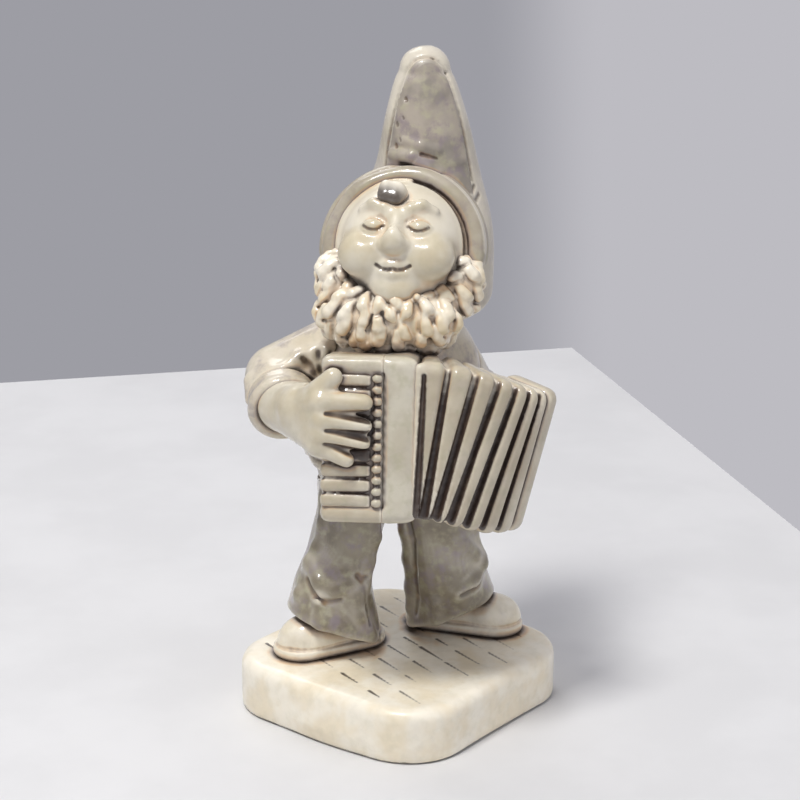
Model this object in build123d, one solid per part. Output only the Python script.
"""A glazed earthenware garden gnome playing an accordion, 198 mm tall.

The figure is slip-cast: each piece is cast in its own mould as a thin shell (small pieces are cast
solid), and the pieces are luted together with slip before firing, so neighbours meet face to face.
Frame: millimetres, +Z up, origin at the centre of the plinth's underside, -Y is the plinth corner
that the figure faces, +X is the figure's own left. "right" and "left" are the figure's own.
"""

import os
from math import cos, radians, sin

from build123d import *

# Driving dimensions -----------------------------------------------------------------------------
WALL = 3.2  # thickness of a slip-cast wall
VENT_RADIUS = 2.2  # kiln vent between two hollow castings

BASE_SIDE = 78.0
BASE_CORNER_RADIUS = 18.4
BASE_HEIGHT = 16.5
BASE_TOP_ROUND = 3.4
BASE_FOOT_ROUND = 0.8
BASE_WALL = 4.0
FOOT_RIM_WIDTH = 6.0
FOOT_RIM_HEIGHT = 1.2
DRAIN_RADIUS = 6.0

SOLE_THICKNESS = 3.2
SOLE_RADIUS = 8.4
SOLE_WELT = 0.7  # how far the sole stands out past the upper
TOE_CAP_HEIGHT = 9.0
SHOE_HEEL_TOE = {  # centre of the heel round and of the toe round, on the plinth
    "right": ((-11.7, 6.0), (-29.7, -1.0)),
    "left": ((12.8, 18.0), (31.3, 9.5)),
}

# Each section of a body casting: height, centre x, centre y, half width, half depth.
TROUSER_SECTIONS = {
    "right": (
        (84.0, -10.5, 5.0, 11.0, 13.0),
        (66.0, -12.9, 5.0, 11.0, 12.6),
        (54.0, -14.6, 4.5, 10.5, 12.0),
        (40.0, -18.6, 4.0, 11.5, 13.0),
        (28.0, -20.2, 3.2, 13.9, 14.4),
        (15.0, -20.7, 2.6, 14.8, 15.0),
    ),
    "left": (
        (84.0, 9.8, 7.5, 12.0, 13.0),
        (66.0, 11.8, 8.5, 11.6, 12.2),
        (54.0, 12.9, 9.0, 11.0, 12.0),
        (40.0, 15.5, 10.0, 11.6, 12.6),
        (28.0, 18.1, 11.8, 13.6, 13.6),
        (15.0, 18.7, 12.8, 14.4, 14.2),
    ),
}
HEM_HEIGHT = 24.0  # height of the trouser hem above the middle of the foot
HEM_TILT = 24.0  # degrees; the hem rises over the toe and drops to the heel
SEAT_SECTIONS = (
    (63.0, -0.6, 6.5, 16.0, 10.0),
    (69.0, -0.6, 6.0, 22.0, 14.0),
    (80.0, -0.6, 5.0, 23.6, 16.6),
    (90.0, -0.6, 4.6, 22.0, 15.0),
)
JACKET_SECTIONS = (
    (77.0, -0.7, 2.4, 27.4, 21.8),
    (84.0, -0.7, 2.2, 26.6, 21.6),
    (98.0, -0.4, 3.0, 25.0, 19.4),
    (110.0, 0.2, 4.0, 23.2, 16.6),
    (118.0, 0.8, 4.6, 18.0, 13.0),
    (124.0, 0.8, 4.4, 12.0, 10.0),
)

ARM_RADII = (11.4, 9.8, 9.0)  # shoulder, elbow, wrist
SLEEVE_POINTS = {
    "right": ((-17.0, 5.5, 108.5), (-34.8, 7.0, 101.4), (-34.4, -6.0, 98.0)),
    "left": ((12.0, 6.4, 108.2), (24.0, 14.6, 87.4), (32.4, -1.5, 86.0)),
}
HANDS = {  # centre of the palm, then root, tip and tip radius of each finger, thumb last
    "right": (
        (-29.5, -22.5, 100.8),
        (
            ((-26.0, -34.8, 107.4), (-14.0, -37.2, 107.2), 2.6),
            ((-25.6, -35.8, 102.2), (-14.2, -38.4, 100.8), 2.4),
            ((-26.0, -35.8, 98.0), (-14.8, -39.1, 96.0), 2.4),
            ((-27.0, -34.6, 94.4), (-19.2, -38.6, 91.0), 2.3),
            ((-26.0, -32.0, 109.6), (-22.4, -34.0, 114.0), 2.9),
        ),
    ),
    "left": (
        (32.0, -12.5, 84.6),
        (
            ((33.2, -15.4, 91.8), (38.4, -20.2, 90.2), 2.4),
            ((32.4, -15.4, 87.2), (37.6, -20.4, 85.8), 2.4),
            ((31.4, -15.6, 82.8), (36.4, -20.6, 81.4), 2.3),
            ((30.4, -15.8, 78.6), (35.2, -20.4, 77.2), 2.2),
            ((32.6, -9.0, 91.6), (35.2, -12.8, 97.4), 2.6),
        ),
    ),
}
WRIST_RADIUS = 6.2
PALM_RADIUS = 8.0
KNUCKLE_RADIUS = 6.0  # where a finger leaves the palm's centre
FINGER_SWELL = 0.6  # a finger is this much thicker at its root
CUFF_LENGTH = 7.0
CUFF_RADIUS = 10.2
CUFF_WALL = 3.4
CUFF_ROUND = 1.5

ACCORDION_ORIGIN = (-0.2, -40.3, 96.0)  # front face, casing's bellows edge, half height
ACCORDION_YAW = -11.0
ACCORDION_TILT = 10.0  # the top leans back
CASING_HEIGHT = 47.4
CASING_DEPTH = 24.0
GRILLE_WIDTH = 9.2
KEYBOARD_WIDTH = 17.2
KEYBOARD_SETBACK = 1.6  # the key bed lies this far behind the grille's face
CASING_ROUND = 3.0
KEY_BED_BACK = 16.8  # depth of the key bed's back face behind the grille's front
KEY_BED_HEIGHT = 46.6
KEY_BED_ROUND = 2.4
WHITE_KEYS = 9
WHITE_KEY_LENGTH = 13.2
BLACK_KEYS = 12
BLACK_KEY_LENGTH = 2.4
KEY_SPAN = 38.4
KEY_RISE = 1.0
KEY_GAP = 0.5
KEY_ROUND = 0.4
WHITE_KEY_MARGIN = 0.8  # from the bed's outer edge
BLACK_KEY_MARGIN = 0.3  # from the grille

FOLDS = 7
FOLD_DEPTH = 2.4
FOLD_TOP = (0.2, 0.75)  # the flat top of a fold, as shares of its pitch
BELLOWS_WALL = 1.0
BELLOWS_CORNER = 3.2
CORNER_LOSS = 0.8  # how much the corner radius shrinks per millimetre of inset
BELLOWS_SETBACK = 0.6  # behind the grille's face
BELLOWS_END = (32.6, 21.3, -9.1)  # front edge at half height, in the accordion's frame
BELLOWS_END_NORMAL = (0.485, 0.875, -0.03)
BELLOWS_END_UP = (0.243, -0.104, 0.964)
BELLOWS_REACH = 14.0  # length of the curve's end tangents
BELLOWS_HEIGHTS = (45.4, 43.6)
BELLOWS_DEPTHS = (23.0, 17.0)
BASS_WIDTH = 5.0
BASS_ROUND = 1.8

HEAD_CENTRE = (1.1, -3.0, 142.0)
HEAD_YAW = -16.0
HEAD_PITCH = 22.0  # the face looks up
HEAD_RADIUS = 18.6
HEAD_TALLER = 0.6  # the skull's half height is this much more than its radius
NOSE_CENTRE = (0.0, 18.6, 1.0)  # in the head frame: left, forward, up
NOSE_RADII = (4.2, 4.6, 4.2)
CHEEK_CENTRE = (9.0, 13.6, -4.0)
CHEEK_RADII = (6.4, 5.0, 6.0)
NECK_CENTRE = (2.0, 3.6, 123.0)
NECK_RADIUS = 7.6
NECK_LENGTH = 14.0
BRIM_RADIUS = 20.8
BRIM_ROLL = 1.9
BRIM_CENTRE = (0.4, 2.0, 0.0)
BRIM_ENDS = -9.0  # the brim ends here at each side of the jaw
HOOD_RADIUS = 21.8
FORELOCK_CENTRE = (-1.6, 13.4, 13.4)
FORELOCK_RADII = (4.4, 3.0, 3.2)
BEARD_RING_RADIUS = 16.2
BEARD_ROLL = 8.6
BEARD_CENTRE = (-0.4, 1.0, -8.0)
CHIN_CENTRE = (-2.0, 4.5, -20.0)
CHIN_RADII = (22.0, 12.0, 11.5)
NAPE_CENTRE = (3.4, 11.0, 125.0)
NAPE_RADII = (21.0, 14.0, 9.0)
HAT_BOTTOM = 126.0
HAT_BACK_RISE = 0.25  # the hat's lower edge rises towards the nape
HAT_SIDE_TOP = 156.0  # below this the hat stops at the brim
HAT_WALL = 2.6
HAT_SECTIONS = (  # height, centre x, centre y, radius
    (122.0, 5.8, 5.0, 21.8),
    (132.0, 6.4, 6.0, 22.2),
    (141.0, 7.2, 8.5, 21.8),
    (152.0, 8.9, 13.0, 18.9),
    (161.0, 10.4, 16.0, 15.4),
    (169.0, 10.5, 17.0, 13.6),
    (181.0, 10.1, 17.6, 11.1),
    (186.5, 10.0, 17.9, 9.6),
    (189.5, 10.0, 18.0, 8.2),
)
PANEL_THICKNESS = 0.8
PANEL_REACH = 40.0  # from the panel's centre past the front of the cone
PANEL_CENTRE = (10.4, 14.0, 164.0)
PANEL_RADII = (11.2, 28.0)
PANEL_BOTTOM = 164.5
OUT_DIR = "parts"


# Helpers ----------------------------------------------------------------------------------------
def biggest(shape):
    """The largest solid of a cut, without the crumbs that the cut may leave."""
    return max(shape.solids(), key=lambda solid: solid.volume)


def less(shape, blocks):
    """The largest solid left when every block is cut out of shape."""
    for block in blocks:
        shape = shape - block
    return biggest(shape)


def ball(centre, radius):
    return Pos(*centre) * Sphere(radius)


def egg(centre, radii, plane=Plane.XY):
    """An ellipsoid with its half axes along the plane's x, y and z."""
    placed = Plane(origin=Vector(*centre), x_dir=plane.x_dir, z_dir=plane.z_dir)
    return placed.location * scale(Sphere(1.0), by=radii)


def limb(points, radii):
    """A chain of tapered rods with round joints."""
    body = ball(points[0], radii[0])
    for start, end, r_start, r_end in zip(points, points[1:], radii, radii[1:]):
        along = Vector(*end) - Vector(*start)
        middle = Plane(origin=Vector(*start) + along * 0.5, z_dir=along.normalized())
        body = body + middle.location * Cone(r_start, r_end, along.length)
        body = body + ball(end, r_end)
    return body


def lofted(sections, inset=0.0):
    """A casting lofted through level ellipses, or its core when inset is the wall."""
    rings = [
        Plane(origin=(x, y, z)) * Ellipse(half_width - inset, half_depth - inset)
        for z, x, y, half_width, half_depth in sections
    ]
    return loft(rings)


def half_space(point, normal, size=260.0):
    """A large block on the side of a plane that normal points to."""
    side = Plane(origin=Vector(*point), z_dir=Vector(*normal))
    return side.location * (Pos(0, 0, size / 2) * Box(size, size, size))


def turned(vector, yaw, pitch):
    """vector in the figure's frame, tipped up by pitch and then turned by yaw about +Z."""
    x, y, z = vector
    tip, turn = radians(-pitch), radians(yaw)
    y, z = y * cos(tip) - z * sin(tip), y * sin(tip) + z * cos(tip)
    return (x * cos(turn) - y * sin(turn), x * sin(turn) + y * cos(turn), z)


# Plinth, shoes and trousers -----------------------------------------------------------------------
def plinth():
    """Hollow plinth: a shell with a foot rim and a drain hole below, and two vents above."""
    outline = Rot(0, 0, 45) * RectangleRounded(BASE_SIDE, BASE_SIDE, BASE_CORNER_RADIUS)
    block = extrude(outline, BASE_HEIGHT)
    block = fillet(block.faces().sort_by(Axis.Z)[-1].edges(), BASE_TOP_ROUND)
    block = fillet(block.faces().sort_by(Axis.Z)[0].edges(), BASE_FOOT_ROUND)
    inner_side = BASE_SIDE - 2 * BASE_WALL
    inner = Rot(0, 0, 45) * RectangleRounded(inner_side, inner_side, BASE_CORNER_RADIUS - BASE_WALL)
    floor = FOOT_RIM_HEIGHT + BASE_WALL
    cavity = Pos(0, 0, floor) * extrude(inner, BASE_HEIGHT - BASE_WALL - floor)
    recess_side = BASE_SIDE - 2 * FOOT_RIM_WIDTH
    recess = Rot(0, 0, 45) * RectangleRounded(
        recess_side, recess_side, BASE_CORNER_RADIUS - FOOT_RIM_WIDTH
    )
    shell = block - cavity - extrude(recess, FOOT_RIM_HEIGHT)
    shell = shell - Pos(0, 0, floor / 2) * Cylinder(DRAIN_RADIUS, 2 * floor)
    for side in SHOE_HEEL_TOE:
        shell = shell - ankle_vent(side)
    return biggest(shell)


def ankle_vent(side):
    """The vent from a trouser leg down through the shoe into the plinth."""
    (x, y), _ = SHOE_HEEL_TOE[side]
    height = SOLE_THICKNESS + TOE_CAP_HEIGHT + BASE_WALL
    return Pos(x, y, BASE_HEIGHT + height / 2 - BASE_WALL) * Cylinder(VENT_RADIUS, 2 * height)


def shoe(side):
    """A solid shoe: a flat welted sole with a domed upper."""
    heel, toe = (Vector(x, y, BASE_HEIGHT) for x, y in SHOE_HEEL_TOE[side])
    along = toe - heel
    place = Plane(origin=heel + along * 0.5, x_dir=along.normalized(), z_dir=(0, 0, 1))
    sole_outline = SlotCenterToCenter(along.length, 2 * SOLE_RADIUS)
    sole = place.location * extrude(sole_outline, SOLE_THICKNESS)
    upper_radius = SOLE_RADIUS - SOLE_WELT
    upper = egg((0, 0, SOLE_THICKNESS), (along.length / 2 + upper_radius, upper_radius, TOE_CAP_HEIGHT))
    upper = upper - half_space((0, 0, SOLE_THICKNESS), (0, 0, -1))
    return biggest(sole + place.location * upper - ankle_vent(side))


def hem_cutter(side):
    """Everything below the tilted trouser hem."""
    heel, toe = (Vector(x, y, 0) for x, y in SHOE_HEEL_TOE[side])
    forward = (toe - heel).normalized()
    point = (heel + toe) * 0.5 + Vector(0, 0, HEM_HEIGHT)
    lean = radians(HEM_TILT)
    return half_space(point, forward * sin(lean) - Vector(0, 0, cos(lean)))


def trouser_leg(side, shoe_solid, seat_outer, jacket_outer):
    sections = TROUSER_SECTIONS[side]
    ground = half_space((0, 0, BASE_HEIGHT), (0, 0, -1))
    tube = lofted(sections) - lofted(sections, WALL) - ground - hem_cutter(side)
    return biggest(tube - shoe_solid - seat_outer - jacket_outer)


# Jacket, sleeves and hands --------------------------------------------------------------------------
def jacket(blocks):
    """The jacket's body, open at the hem and closed by the neck."""
    return less(lofted(JACKET_SECTIONS) - lofted(JACKET_SECTIONS[:-1], WALL), blocks)


def arm(side, inset=0.0):
    """The arm from the shoulder to the wrist, cut square at the wrist."""
    points = SLEEVE_POINTS[side]
    body = limb(points, [radius - inset for radius in ARM_RADII])
    return body - half_space(points[2], Vector(*points[2]) - Vector(*points[1]))


def sleeve(side, blocks):
    return less(less(arm(side), blocks), [arm(side, WALL)])


def cuff(side, radius_in=CUFF_RADIUS - CUFF_WALL):
    """The thick turned-up end of a sleeve, solid when radius_in is 0."""
    _, elbow, wrist = (Vector(*point) for point in SLEEVE_POINTS[side])
    along = (wrist - elbow).normalized()
    band = fillet(Cylinder(CUFF_RADIUS, CUFF_LENGTH).edges(), CUFF_ROUND)
    if radius_in:
        band = band - Cylinder(radius_in, CUFF_LENGTH)
    return Plane(origin=wrist, z_dir=along).location * band


def hand(side, blocks):
    """A plump hand: a palm and five fingers, cast solid."""
    wrist, (palm, fingers) = SLEEVE_POINTS[side][2], HANDS[side]
    body = limb((wrist, palm), (WRIST_RADIUS, PALM_RADIUS))
    for root, tip, radius in fingers:
        body = body + limb((palm, root, tip), (KNUCKLE_RADIUS, radius + FINGER_SWELL, radius))
    for block in blocks:
        body = body - block
    return biggest(body)


# Accordion --------------------------------------------------------------------------------------------
def accordion_plane():
    """Local frame of the accordion: x along it to the bass end, y back to the belly, z up."""
    right = turned((1, 0, 0), ACCORDION_YAW, ACCORDION_TILT)
    up = turned((0, 0, 1), ACCORDION_YAW, ACCORDION_TILT)
    return Plane(origin=ACCORDION_ORIGIN, x_dir=right, z_dir=up)


def casing_block(x_low, x_high, y_low, y_high, height, rounding):
    block = Pos((x_low + x_high) / 2, (y_low + y_high) / 2, 0) * Box(
        x_high - x_low, y_high - y_low, height
    )
    return fillet(block.edges(), rounding)


def treble_casing(outer_only=False):
    """Hollow treble casing: the grille slab, open towards the bellows."""
    block = casing_block(-GRILLE_WIDTH, 0, 0, CASING_DEPTH, CASING_HEIGHT, CASING_ROUND)
    if not outer_only:
        inner_width = GRILLE_WIDTH - WALL
        core = Box(inner_width, CASING_DEPTH - 2 * WALL, CASING_HEIGHT - 2 * WALL)
        block = block - Pos(-inner_width / 2, CASING_DEPTH / 2, 0) * core
    return accordion_plane().location * block


def key_bed():
    """The solid bed that carries the keys, beside the grille."""
    bed = casing_block(
        -GRILLE_WIDTH - KEYBOARD_WIDTH,
        -GRILLE_WIDTH + 2 * CASING_ROUND,
        KEYBOARD_SETBACK,
        KEY_BED_BACK,
        KEY_BED_HEIGHT,
        KEY_BED_ROUND,
    )
    return accordion_plane().location * bed


def key_row(count, length, x_centre):
    """One row of key tops, evenly spaced over the flat of the key bed."""
    pitch = KEY_SPAN / count
    keys = []
    for i in range(count):
        z = (i - (count - 1) / 2) * pitch
        key = Pos(x_centre, KEYBOARD_SETBACK - KEY_RISE / 2, z) * Box(length, KEY_RISE, pitch - KEY_GAP)
        front = key.faces().sort_by(Axis.Y)[0]
        keys.append(fillet(front.edges(), KEY_ROUND))
    return Compound(children=[accordion_plane().location * key for key in keys])


def bellows_path():
    """The front edge of the bellows at half height, in the accordion's frame."""
    end = Vector(*BELLOWS_END)
    start = Vector(0, BELLOWS_SETBACK, 0)
    leave = start + Vector(BELLOWS_REACH, 0, 0)
    arrive = end - Vector(*BELLOWS_END_NORMAL) * BELLOWS_REACH
    return Bezier(start, leave, arrive, end)


def between(pair, share):
    return pair[0] + (pair[1] - pair[0]) * share


def bellows_section(path, share, inset):
    """A rounded rectangle across the bellows, inset from the ridge line."""
    normal = path % share
    lean = Vector(0, 0, 1) * (1 - share) + Vector(*BELLOWS_END_UP) * share
    up = (lean - normal * lean.dot(normal)).normalized()
    back = up.cross(normal)
    depth = between(BELLOWS_DEPTHS, share)
    height = between(BELLOWS_HEIGHTS, share)
    sheet = Plane(origin=path @ share + back * (depth / 2), x_dir=up, z_dir=normal)
    corner = BELLOWS_CORNER - CORNER_LOSS * inset
    return sheet * RectangleRounded(height - 2 * inset, depth - 2 * inset, corner)


def bellows(outer_only=False):
    """Pleated bellows: a ruled loft over flat-topped folds, hollow inside."""
    path = bellows_path()
    rings = [bellows_section(path, 0.0, FOLD_DEPTH)]
    for i in range(FOLDS):
        for part_way in FOLD_TOP:
            rings.append(bellows_section(path, (i + part_way) / FOLDS, 0.0))
        rings.append(bellows_section(path, (i + 1) / FOLDS, FOLD_DEPTH))
    body = loft(rings, ruled=True)
    if not outer_only:
        core = [bellows_section(path, i / FOLDS, FOLD_DEPTH + BELLOWS_WALL) for i in range(FOLDS + 1)]
        body = body - loft(core, ruled=True)
    return accordion_plane().location * body


def bass_casing():
    """The closed end of the bellows, a solid plate with a rounded rim."""
    face = bellows_section(bellows_path(), 1.0, 0.0).faces()[0]
    normal = Vector(*BELLOWS_END_NORMAL).normalized()
    slab = extrude(face, BASS_WIDTH, dir=normal)
    rim = slab.faces().sort_by(lambda side: side.center().dot(normal))
    slab = fillet(rim[-1].edges(), BASS_ROUND)
    return accordion_plane().location * slab


# Head, beard and hat ---------------------------------------------------------------------------------
def head_plane():
    """Local frame of the head: x to the figure's left, y out of the face, z up the face."""
    side = turned((1, 0, 0), HEAD_YAW, HEAD_PITCH)
    up = turned((0, 0, 1), HEAD_YAW, HEAD_PITCH)
    return Plane(origin=HEAD_CENTRE, x_dir=side, z_dir=up)


def face_direction():
    return turned((0, -1, 0), HEAD_YAW, HEAD_PITCH)


def head_outer():
    """Skull, cheeks, nose and neck, as one closed form."""
    face = head_plane()
    nose = egg(local(*NOSE_CENTRE), NOSE_RADII, face)
    x, forward, z = CHEEK_CENTRE
    cheeks = [egg(local(side * x, forward, z), CHEEK_RADII, face) for side in (-1, 1)]
    skull = egg(HEAD_CENTRE, (HEAD_RADIUS, HEAD_RADIUS, HEAD_RADIUS + HEAD_TALLER), face)
    neck = Pos(*NECK_CENTRE) * Cylinder(NECK_RADIUS, NECK_LENGTH)
    return skull + nose + cheeks + neck


def local(x, forward, z):
    """A point in the head's frame: x to the figure's left, forward out of the face, z up the face."""
    face = head_plane()
    out = Vector(*face_direction())
    return face.origin + face.x_dir * x + out * forward + face.z_dir * z


def head(outer):
    core = egg(HEAD_CENTRE, (HEAD_RADIUS - WALL,) * 3, head_plane())
    channel = Pos(*NECK_CENTRE) * Cylinder(NECK_RADIUS - WALL, 2 * NECK_LENGTH)
    return biggest(outer - core - channel)


def brim():
    """The rolled brim round the face."""
    ring = Plane(origin=local(*BRIM_CENTRE), x_dir=head_plane().x_dir, z_dir=face_direction())
    roll = ring.location * Torus(BRIM_RADIUS, BRIM_ROLL)
    return biggest(roll - half_space(local(0, 0, BRIM_ENDS), turned((0, 0, -1), HEAD_YAW, HEAD_PITCH)))


def hat_cone(inset=0.0):
    rings = [Plane(origin=(x, y, z)) * Circle(r - inset) for z, x, y, r in HAT_SECTIONS]
    z, x, y, r = HAT_SECTIONS[-1]
    return loft(rings) + ball((x, y, z), r - inset)


def hat_form(inset=0.0):
    """The hood round the back of the head, and the tall cone, as one form."""
    hood = ball(local(*BRIM_CENTRE), HOOD_RADIUS - inset)
    hood = hood - half_space(local(*BRIM_CENTRE), face_direction())
    return hat_cone(inset) + hood


def hat_block():
    """The hat without its hollow: open round the face and cut off above the nape."""
    in_front = half_space(local(*BRIM_CENTRE), face_direction())
    opening = Plane(origin=local(*BRIM_CENTRE), z_dir=face_direction())
    reach = 4 * BRIM_RADIUS
    face_hole = opening.location * (Pos(0, 0, reach / 2) * Cylinder(BRIM_RADIUS, reach))
    sides = in_front & half_space((0, 0, HAT_SIDE_TOP), (0, 0, -1))
    below = half_space((0, 0, HAT_BOTTOM), (0, HAT_BACK_RISE, -1))
    return hat_form() - face_hole - sides - below


def hat_crown(block, head_solid, brim_ring):
    return biggest(block - hat_form(HAT_WALL) - head_solid - brim_ring)


def hat_front_panel(crown_form):
    """The felt panel on the front of the cone, between its side seams."""
    outline = Plane(origin=PANEL_CENTRE, x_dir=(1, 0, 0), z_dir=(0, -1, 0))
    prism = extrude(outline * Ellipse(*PANEL_RADII), PANEL_REACH)
    prism = prism - half_space((0, 0, PANEL_BOTTOM), (0, 0, -1))
    return biggest((hat_cone(-PANEL_THICKNESS) & prism) - crown_form)


def forelock(blocks):
    return less(egg(local(*FORELOCK_CENTRE), FORELOCK_RADII, head_plane()), blocks)


def beard(blocks):
    """The beard: a thick roll round the jaw, fuller at the chin."""
    jaw = Plane(origin=local(*BEARD_CENTRE), z_dir=face_direction())
    roll = jaw.location * Torus(BEARD_RING_RADIUS, BEARD_ROLL)
    roll = roll - half_space(local(*BEARD_CENTRE), turned((0, 0, 1), HEAD_YAW, HEAD_PITCH))
    x, forward, z = BEARD_CENTRE
    for end in (x - BEARD_RING_RADIUS, x + BEARD_RING_RADIUS):
        roll = roll + ball(local(end, forward, z), BEARD_ROLL)
    chin = egg(local(*CHIN_CENTRE), CHIN_RADII, head_plane())
    return less(roll + chin, blocks)


def nape_hair(blocks):
    """Curls over the nape, between the hat and the shoulders."""
    return less(egg(NAPE_CENTRE, NAPE_RADII), blocks)


# Assembly ---------------------------------------------------------------------------------------------
def build():
    """Every piece by its node name."""
    parts = {"plinth": plinth()}
    seat_outer = lofted(SEAT_SECTIONS)
    jacket_outer = lofted(JACKET_SECTIONS)
    for side in ("right", "left"):
        sole = shoe(side)
        parts[f"{side}_shoe"] = sole
        parts[f"{side}_trouser_leg"] = trouser_leg(side, sole, seat_outer, jacket_outer)

    casing_outer = treble_casing(outer_only=True)
    bed = biggest(key_bed() - casing_outer)
    white_x = -GRILLE_WIDTH - KEYBOARD_WIDTH + WHITE_KEY_LENGTH / 2 + WHITE_KEY_MARGIN
    black_x = -GRILLE_WIDTH - BLACK_KEY_LENGTH / 2 - BLACK_KEY_MARGIN
    parts["treble_casing"] = biggest(treble_casing())
    parts["key_bed"] = bed
    parts["white_keys"] = key_row(WHITE_KEYS, WHITE_KEY_LENGTH, white_x)
    parts["black_keys"] = key_row(BLACK_KEYS, BLACK_KEY_LENGTH, black_x)
    parts["bellows"] = biggest(bellows())
    parts["bass_casing"] = biggest(bass_casing())
    accordion = [casing_outer, bed, bellows(outer_only=True), parts["bass_casing"]]
    keys = [*parts["white_keys"].solids(), *parts["black_keys"].solids()]

    head_solid = head_outer()
    parts["trouser_seat"] = seat_outer - lofted(SEAT_SECTIONS, WALL)
    parts["jacket"] = jacket([*accordion, seat_outer, head_solid])
    arms = []
    for side in ("right", "left"):
        band = cuff(side)
        body = [jacket_outer, seat_outer, head_solid, *accordion]
        parts[f"{side}_cuff"] = less(band, body)
        parts[f"{side}_sleeve"] = sleeve(side, [band, *body])
        arm_block = arm(side) + cuff(side, 0.0)
        parts[f"{side}_hand"] = hand(side, [arm_block, *accordion, *keys])
        arms.append(arm_block)

    brim_ring = brim()
    crown = hat_block()
    parts["head"] = head(head_solid)
    parts["hat_brim"] = biggest(brim_ring - head_solid)
    parts["hat_crown"] = hat_crown(crown, head_solid, brim_ring)
    parts["hat_front_panel"] = hat_front_panel(hat_form())
    parts["forelock"] = forelock([head_solid, brim_ring, crown])
    blocks = [head_solid, crown, brim_ring, jacket_outer, *accordion, *arms]
    parts["beard"] = beard(blocks)
    parts["nape_hair"] = nape_hair([parts["beard"], *blocks])
    return parts


def main():
    os.makedirs(OUT_DIR, exist_ok=True)
    for name, shape in build().items():
        export_step(shape, os.path.join(OUT_DIR, f"{name}.step"))


main()
